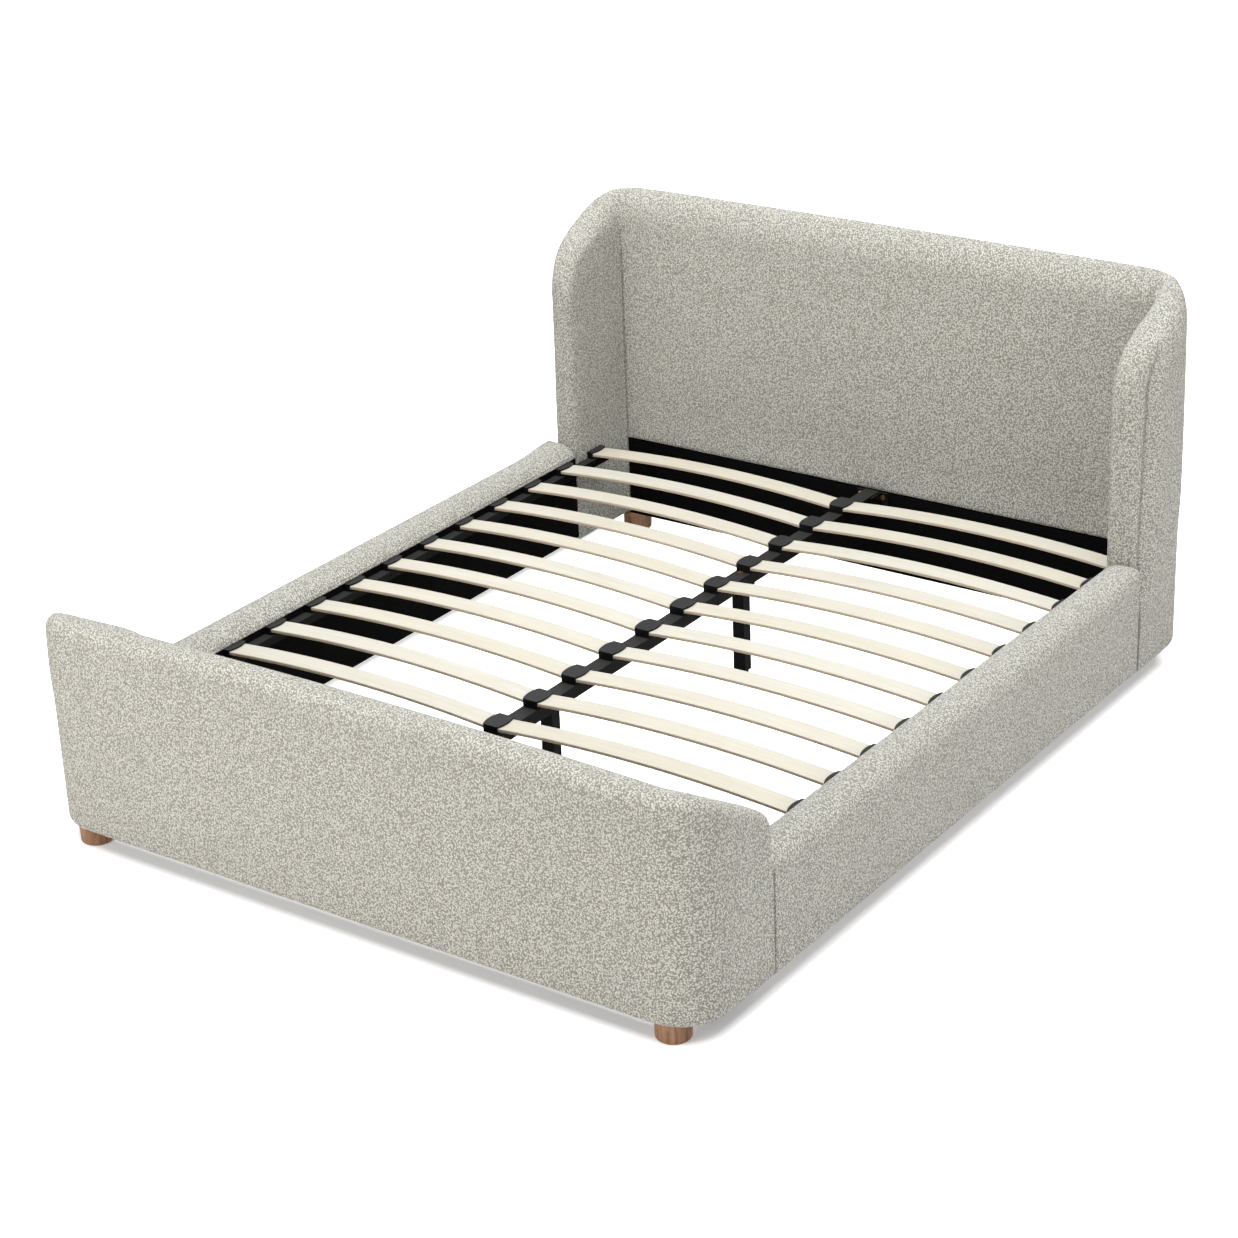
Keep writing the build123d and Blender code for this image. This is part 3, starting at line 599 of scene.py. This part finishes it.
def speckled_finish(name, dark, pale, roughness, grain_size, depth, metallic=0.0, painted_top_light=0.0):
    """A fine-grained hard finish: mottled colour, a fine pitted surface and painted top light: faces that
    point up are painted a paler grey, standing in for the light from above.
    """
    material, tree, shader, place = finish_base(name)
    tone = use_group(tree, SHADE, Vector=place, Size=grain_size, Depth=1.6).outputs["Tone"]
    paint = blend_colours(tree, remap(tree, tone, 0.75, 1.25), dark, pale)
    # Painted top light: the paler grey is mixed in by how far a face points up, standing in for the light
    # from above
    upward = node(tree, "SeparateXYZ", Vector=node(tree, "NewGeometry").outputs["Normal"]).outputs["Z"]
    painted_top_light_share = remap(tree, upward, 0.4, 0.95, high=painted_top_light)
    dress(
        tree, shader, tone, depth, 0.0004, Metallic=metallic, Specular_IOR_Level=0.06,
        Base_Color=blend_colours(tree, painted_top_light_share, paint, (0.20, 0.20, 0.195, 1)),
        Roughness=remap(tree, tone, 0.7, 1.3, roughness - 0.08, roughness + 0.08),
    )
    return material


def lining_finish():
    """Matt black lining: a plain weave of crossing threads."""
    material, tree, shader, place = finish_base("black lining")
    warp, weft = (
        node(tree, "TexWave", {"bands_direction": axis}, Vector=place, Scale=420.0).outputs["Fac"]
        for axis in "XZ"
    )
    weave = maths(tree, "MULTIPLY", warp, weft)
    tone = use_group(tree, SHADE, Vector=place, Size=9.0, Depth=0.8).outputs["Tone"]
    share = maths(tree, "MULTIPLY", weave, tone, True)
    cloth = blend_colours(tree, share, (0.001, 0.001, 0.001, 1), (0.004, 0.004, 0.0038, 1))
    dress(tree, shader, weave, 0.3, 0.0005, Base_Color=cloth, Roughness=0.9, Specular_IOR_Level=0.05)
    return material


BOUCLE = boucle_finish()
BIRCH = birch_finish()
WALNUT = walnut_finish()
LINING = lining_finish()
# The black steel and the black plastic get painted top light on their upward faces
STEEL = speckled_finish(
    "black powder coat", (0.002, 0.0017, 0.0015, 1), (0.006, 0.0052, 0.0046, 1), 0.40, 900.0, 0.2, painted_top_light=0.10
)
PLASTIC = speckled_finish(
    "black plastic", (0.003, 0.003, 0.003, 1), (0.009, 0.009, 0.0095, 1), 0.38, 600.0, 0.15, painted_top_light=0.10
)
COPPER = speckled_finish(
    "copper plating", (0.40, 0.20, 0.11, 1), (0.62, 0.36, 0.22, 1), 0.32, 500.0, 0.15, metallic=1.0
)
ZINC = speckled_finish(
    "bright zinc", (0.42, 0.43, 0.45, 1), (0.62, 0.63, 0.65, 1), 0.35, 500.0, 0.15, metallic=1.0
)
PLYWOOD = speckled_finish("raw plywood", (0.42, 0.30, 0.18, 1), (0.60, 0.46, 0.30, 1), 0.7, 40.0, 0.2)


# Upholstery
def cover(name, grid, seam, replaced):
    """One upholstered piece from its rings."""
    piece = tube_piece(name, grid, BOUCLE, {"seam": seam})
    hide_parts(*replaced)


def whole_cover(name, grid, seam, replaced):
    """A cover from its right-hand rings and the same rings mirrored, going on past x = 0."""
    rings = np.concatenate([grid, on_side(grid, -1)[-2::-1]])
    cover(name, rings, np.concatenate([seam, seam[-2::-1]]), replaced)


# The wings end in the corner valley, where the headboard's own cover begins, sewn to them
head_grid, head_seam, corner_ring = wall_half(HEADBOARD)
# Painted shade in the inner corner crease, along the seam between wing and headboard: darkest low down and
# fading out towards the top
corner_crease_shade = np.exp(-(np.abs(np.arange(len(head_grid)) - corner_ring) / 0.6) ** 2)
inner_rows = slice(HEM_STEPS, HEM_STEPS + FILL_STEPS - 1)
fading = 1 - ease(head_grid[:, inner_rows, 2], 0.65, 0.95)
head_seam[:, inner_rows] = np.maximum(head_seam[:, inner_rows], 0.9 * corner_crease_shade[:, None] * fading)
for side, sign in SIDES.items():
    wing = slice(corner_ring + 1)
    cover(f"wing_cover_{side}", on_side(head_grid[wing], sign), head_seam[wing], [f"wing_pad_{side}"])

face_grid, face_seam, _ = wall_half({**HEADBOARD, "inner_low": head_low.z, "swell_in": 0.006})
face_seam[:, inner_rows] = head_seam[:, inner_rows]
whole_cover(
    "headboard_cover", face_grid[corner_ring:], face_seam[corner_ring:], ["headboard_pad", "headboard_back"]
)

foot_grid, foot_seam_mark, _ = wall_half(FOOTBOARD)
whole_cover("footboard_cover", foot_grid, foot_seam_mark, ["footboard_pad"])


def rail_rings():
    """The right-hand rail's cover: its C-shaped section carried along y, its two ends rounded in.

    The top falls to the well as an elliptic quarter, across a(1 - cos f) and down d(1 - sin f), and ends
    as a thin lip over the lining. Near an end, at distance e inside the edge radius r, the section
    shrinks along its own normals by r - sqrt(r^2 - (r - e)^2). Towards the wing the outer roll is
    drawn to its corner, so the rail ends squarer than it runs. Also gives each ring's end mark,
    painted shade on the rounded ends where the rail butts the footboard and the wing.
    """
    gap, lip, lip_low, crease = CLOTH_GAP, 0.003, 0.286, 0.001
    across, down, outer_roll, hem_radius, edge = 0.054, 0.040, 0.042, 0.016, 0.006
    hem_end, settling, squaring = WELL + 0.020, 0.2, 0.16
    turn = np.linspace(math.asin(1 - (RAIL_TOP - lip_low) / down), QUARTER, ROLL_STEPS)
    inner_roll = np.stack(
        [WELL - lip + across * (1 - np.cos(turn)), RAIL_TOP - down * (1 - np.sin(turn))], -1
    )
    rest = rounded_line(
        [
            inner_roll[-1], (OUTSIDE, RAIL_TOP), (OUTSIDE, HEM), (hem_end, HEM),
            (hem_end, board_low.z - gap), (board_high.x + gap, board_low.z - gap),
            (board_high.x + gap, board_high.z + gap), (WELL - gap, board_high.z + gap), (WELL - gap, lip_low),
        ],
        [outer_roll, hem_radius] + [crease] * 5,
        14,
    )
    section = finely(np.concatenate([inner_roll, rest[1:]]), RAIL_SECTION_STEP)
    tangent = np.roll(section, -1, 0) - np.roll(section, 1, 0)
    normal = np.stack([-tangent[:, 1], tangent[:, 0]], -1) / np.linalg.norm(tangent, axis=1)[:, None]

    length = rail_high.y - rail_low.y
    rounding = edge * (1 - np.cos(np.linspace(0, QUARTER, 5)))
    middle = np.linspace(edge, length - settling, 60)[1:]
    near_head = length - edge - np.array([squaring, 0.12, 0.09, 0.06, 0.03])
    y = np.concatenate([rounding, middle, near_head, length - rounding[::-1]])
    from_end = np.minimum(y, length - y)
    inside = np.clip(edge - from_end, 0, edge)
    shrink = (edge - np.sqrt(edge**2 - inside**2))[:, None] * np.clip((section[:, 0] - WELL) / 0.012, 0, 1)
    outward = np.clip((section[:, 0] - OUTSIDE + 0.002) / 0.002, 0, 1)
    swell = 0.004 * outward * np.sin(np.pi * np.clip((section[:, 1] - HEM) / (RAIL_TOP - HEM), 0, 1))
    swell = swell * ease(from_end, 0, settling)[:, None]
    corner = np.array([OUTSIDE, RAIL_TOP])
    rolled = np.all(section > corner - outer_roll - 1e-6, axis=1)
    drawn = 0.6 * rolled * (1 - ease(length - y, 0, squaring))[:, None]
    flat = section + normal * (swell - shrink)[..., None] + (corner - section) * drawn[..., None]
    shape = flat.shape[:2]
    grid = np.stack([flat[..., 0], np.broadcast_to((rail_low.y + y)[:, None], shape), flat[..., 1]], -1)
    # The end mark is painted shade on the rounded ends, where the rail butts the footboard and the wing
    return grid, np.broadcast_to((inside / edge)[:, None], shape)


# Painted shade at the rail's ends, carried by the cloth's seam mark
rail_grid, rail_end_shade = rail_rings()
for side, sign in SIDES.items():
    cover(f"rail_cover_{side}", on_side(rail_grid, sign), rail_end_shade, [f"rail_pad_{side}"])


# Slats
def slat_rings(low, high, tint):
    """A bowed strip: a rounded section carried along x, lifted by camber (1 - t^2) towards its middle."""
    thickness, edge = 0.008, 0.0018
    half = (high.y - low.y) / 2
    corners = [(0, 0), (half, 0), (half, thickness), (-half, thickness), (-half, 0), (0, 0)]
    section = finely(rounded_line(corners, [edge] * 4, 5), SLAT_SECTION_STEP)[:-1]
    x = np.linspace(low.x, high.x, 40)
    t = (x - (low.x + high.x) / 2) / ((high.x - low.x) / 2)
    bow = (high.z - low.z - thickness) * (1 - t**2)
    shape = (len(x), len(section))
    grid = np.stack(
        [
            np.broadcast_to(x[:, None], shape),
            np.broadcast_to((low.y + high.y) / 2 + section[:, 0], shape),
            low.z + bow[:, None] + section[:, 1],
        ],
        -1,
    )
    marks = {
        "ply": np.broadcast_to(section[:, 1] / thickness, shape),
        "edge": np.broadcast_to((np.abs(section[:, 0]) > half - edge * 0.4).astype(float), shape),
        "tint": np.full(shape, tint),
    }
    return grid, marks


slat_names = sorted(
    name for name in frame["nodes"] if name.startswith("slat_") and name.split("_")[1].isdigit()
)
TINT_STEP = 0.382
for number, name in enumerate(slat_names):
    strip, strip_marks = slat_rings(*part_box(name), number * TINT_STEP % 1)
    strip_piece = tube_piece(name + "_strip", strip, BIRCH, strip_marks)
    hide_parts(name)

# Finishes of the solids that stay
FINISHES = {
    "plywood": PLYWOOD, "boucle": BOUCLE, "black_lining": LINING, "birch": BIRCH, "walnut": WALNUT,
    "black_steel": STEEL, "black_plastic": PLASTIC, "copper_bolt": COPPER, "zinc_steel": ZINC,
}
for entry in frame["record"]["subparts"]:
    solid = frame["nodes"][entry["node"]]
    solid.data.materials.clear()
    solid.data.materials.append(FINISHES[entry["material_slot"]])

# Floor, light and camera
FLOOR_HALF = 30.0
floor_mesh = bpy.data.meshes.new("floor")
floor_mesh.from_pydata(
    [(x * FLOOR_HALF, y * FLOOR_HALF, 0) for x, y in ((-1, -1), (1, -1), (1, 1), (-1, 1))], [], [(0, 1, 2, 3)]
)
floor = bpy.data.objects.new("floor", floor_mesh)
bpy.context.scene.collection.objects.link(floor)


def vector_maths(tree, operation, **sockets):
    """A vector math node's result: a number for a length, otherwise a vector."""
    made = node(tree, "VectorMath", {"operation": operation}, **sockets)
    return made.outputs["Value" if operation == "LENGTH" else "Vector"]


def floor_finish():
    """Pale floor: white matt, with a glow that only the camera sees: painted light that makes it white
    outside the bed's edge and well under it, over the bed's real shade there.

    What is left darker is a band along the edge with little glow, a painted shadow band where the bed's own
    shadow falls. Its measure is the distance outside the bed's rounded rectangle: the length of (|x|, |y|)
    past its inner rectangle, less the corner's radius.
    """
    material = bpy.data.materials.new("pale floor")
    material.use_nodes = True
    tree = material.node_tree
    tree.nodes.clear()
    matt = node(tree, "BsdfDiffuse", Color=(0.80, 0.80, 0.80, 1))
    spot = node(tree, "TexCoord").outputs["Object"]

    def outside(centre, half, corner):
        """Distance outside a rectangle with rounded corners on the floor; negative inside it."""
        away = vector_maths(tree, "ABSOLUTE", i0=vector_maths(tree, "SUBTRACT", i0=spot, i1=(*centre, 0)))
        over = vector_maths(tree, "SUBTRACT", i0=away, i1=(half[0] - corner, half[1] - corner, 0))
        axes = node(tree, "SeparateXYZ", Vector=over).outputs
        within = maths(tree, "MINIMUM", maths(tree, "MAXIMUM", axes["X"], axes["Y"]), 0.0)
        past = vector_maths(tree, "LENGTH", i0=vector_maths(tree, "MAXIMUM", i0=over, i1=(0, 0, 0)))
        return maths(tree, "SUBTRACT", maths(tree, "ADD", past, within), corner)

    # Painted shadow: the glow is held low in a band along the bed's edge and is full outside it and under the
    # bed, painted light over the shade there
    shadow_level = 0.17
    edge = outside((0, -0.03), (OUTSIDE, head_high.y - 0.03), FOOTBOARD["corner"])
    under = outside((-0.06, 0.11), (OUTSIDE - 0.07, head_high.y - 0.02), 0.0)
    beyond = remap(tree, edge, -0.03, 0.008, low=shadow_level)
    beneath = remap(tree, under, -0.03, 0.0, low=1.0, high=shadow_level)
    glow = node(tree, "Emission", Color=(1, 1, 1, 1), Strength=maths(tree, "MAXIMUM", beyond, beneath))
    both = node(tree, "AddShader", i0=matt.outputs[0], i1=glow.outputs[0])
    path = node(tree, "LightPath")
    seen = node(tree, "MixShader", Fac=path.outputs["Is Camera Ray"], i1=matt.outputs[0], i2=both.outputs[0])
    tree.links.new(seen.outputs[0], node(tree, "OutputMaterial").inputs[0])
    return material


floor_mesh.materials.append(floor_finish())

# The room is plain white to the camera and in reflections, and dimmer as a source of light
ROOM_LIGHT = 0.45
world = bpy.data.worlds.new("studio")
bpy.context.scene.world = world
world.use_nodes = True
sky = world.node_tree
sky.nodes.clear()
rays = node(sky, "LightPath").outputs
reflected = maths(sky, "MAXIMUM", rays["Is Glossy Ray"], rays["Is Transmission Ray"])
shown = maths(sky, "MAXIMUM", rays["Is Camera Ray"], reflected)
glow = node(sky, "Background", Color=(1, 1, 1, 1), Strength=remap(sky, shown, 0.0, 1.0, low=ROOM_LIGHT))
sky.links.new(glow.outputs[0], node(sky, "OutputWorld").inputs[0])


def softbox(name, place, target, size, power, colour):
    """A square area lamp at place, turned to target."""
    lamp = bpy.data.lights.new(name, "AREA")
    lamp.size = size
    lamp.energy = power
    lamp.color = colour
    holder = bpy.data.objects.new(name, lamp)
    holder.location = place
    direction = np.array(target, float) - np.array(place, float)
    azimuth = math.atan2(direction[1], direction[0])
    tilt = math.atan2(math.hypot(direction[0], direction[1]), -direction[2])
    holder.rotation_euler = (tilt, 0, azimuth - QUARTER)
    bpy.context.scene.collection.objects.link(holder)


softbox("top light", (0.0, 0.2, 5.0), (0, 0, 0.3), 3.5, 375.0, (0.95, 0.98, 1.0))
softbox("front light", (-0.6, -4.2, 1.2), (0, -1.0, 0.3), 2.0, 99.0, (1.0, 0.98, 0.95))
softbox("side light", (6.5, 3.5, 2.0), (0.5, -0.3, 0.3), 2.4, 150.0, (0.99, 0.995, 1.0))
softbox("low light", (4.2, -0.9, 1.2), (0.6, -0.5, 0.3), 2.0, 27.0, (1.0, 1.0, 1.0))

# Camera at the photograph's place
AZIMUTH, ELEVATION, ROLL = (math.radians(angle) for angle in (35.91, 24.31, -2.34))
TARGET, DISTANCE = np.array([-0.090, 0.015, 0.275]), 6.832
SENSOR, FOCAL_PIXELS, PHOTO_PIXELS = 36.0, 2933.0, 1238.0
toward = np.array(
    [math.sin(AZIMUTH) * math.cos(ELEVATION), -math.cos(AZIMUTH) * math.cos(ELEVATION), math.sin(ELEVATION)]
)
level_right = np.array([math.cos(AZIMUTH), math.sin(AZIMUTH), 0])
level_up = np.cross(toward, level_right)
right = math.cos(ROLL) * level_right + math.sin(ROLL) * level_up
up = -math.sin(ROLL) * level_right + math.cos(ROLL) * level_up
pose = np.eye(4)
pose[:3] = np.stack([right, up, toward, TARGET + toward * DISTANCE], -1)
camera_data = bpy.data.cameras.new("camera")
camera_data.sensor_width = SENSOR
camera_data.lens = SENSOR * FOCAL_PIXELS / PHOTO_PIXELS
camera_data.clip_end = 100.0
camera = bpy.data.objects.new("camera", camera_data)
bpy.context.scene.collection.objects.link(camera)
camera.matrix_world = [list(column) for column in pose.T]
bpy.context.scene.camera = camera
bpy.context.scene.view_settings.view_transform = "Standard"
